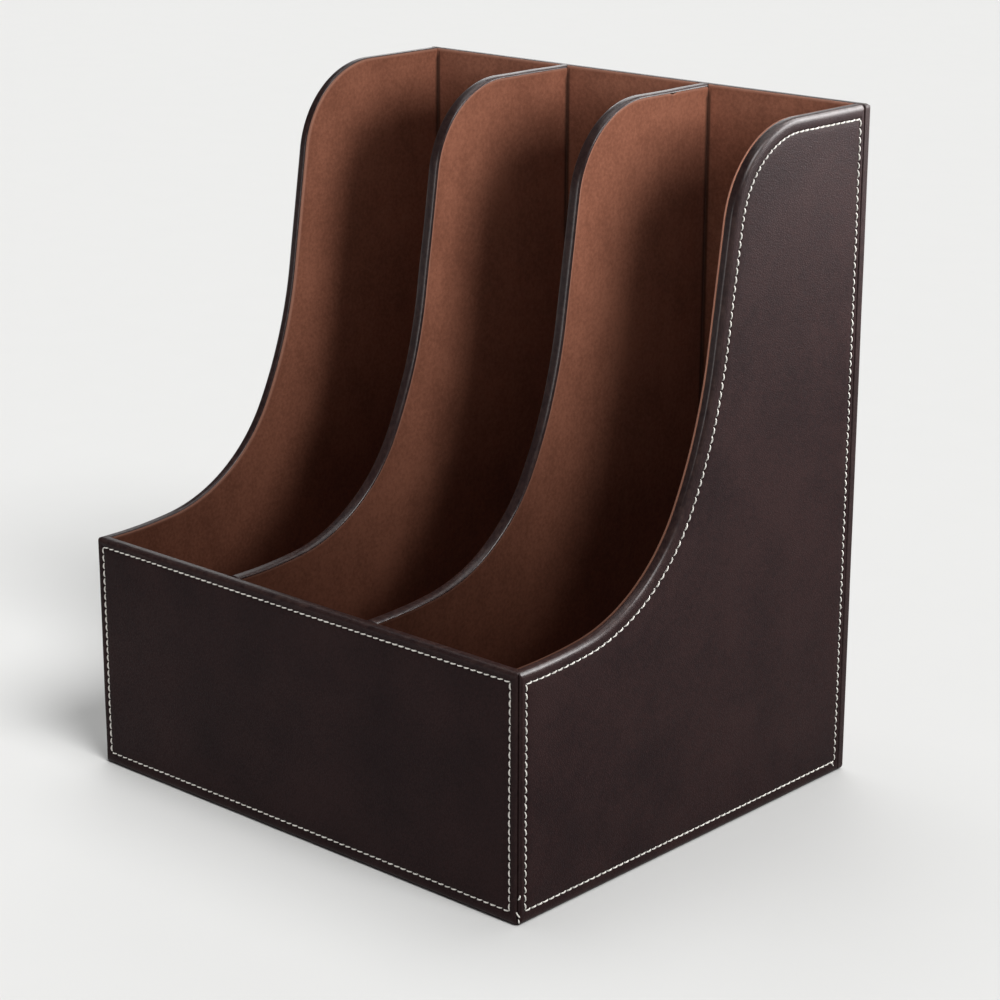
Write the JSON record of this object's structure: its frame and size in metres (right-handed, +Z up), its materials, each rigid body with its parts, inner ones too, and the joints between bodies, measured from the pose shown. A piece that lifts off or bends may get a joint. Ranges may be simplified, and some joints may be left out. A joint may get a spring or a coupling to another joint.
{
  "type": "desk file holder",
  "caption": "Open-topped leather desk file holder with a low front, upright slots, suede lining and dividers that follow the swept side outline.",
  "frame": {"origin": "centre of the underside, on the surface that the box stands on", "axes": "+X to the right as seen from the low front, -Y towards the low front, +Z up"},
  "size_m": [0.268, 0.234, 0.32],
  "materials": {
    "board": "plain fibreboard",
    "leather": "fine-grained, soft sheen",
    "suede": "short brown nap",
    "base_felt": "thin dark felt"
  },
  "bodies": {
    "root": {"bottom_board": "board", "front_board": "board", "back_board": "board", "left_side_board": "board", "right_side_board": "board", "left_divider_board": "board", "right_divider_board": "board", "front_leather": "leather", "back_leather": "leather", "left_side_leather": "leather", "right_side_leather": "leather", "left_divider_edge": "leather", "right_divider_edge": "leather", "base_cover": "base_felt", "left_slot_left_lining": "suede", "left_slot_right_lining": "suede", "middle_slot_left_lining": "suede", "middle_slot_right_lining": "suede", "right_slot_left_lining": "suede", "right_slot_right_lining": "suede", "left_slot_back_lining": "suede", "middle_slot_back_lining": "suede", "right_slot_back_lining": "suede", "left_slot_front_lining": "suede", "middle_slot_front_lining": "suede", "right_slot_front_lining": "suede", "left_slot_floor_lining": "suede", "middle_slot_floor_lining": "suede", "right_slot_floor_lining": "suede"}
  },
  "joints": []
}
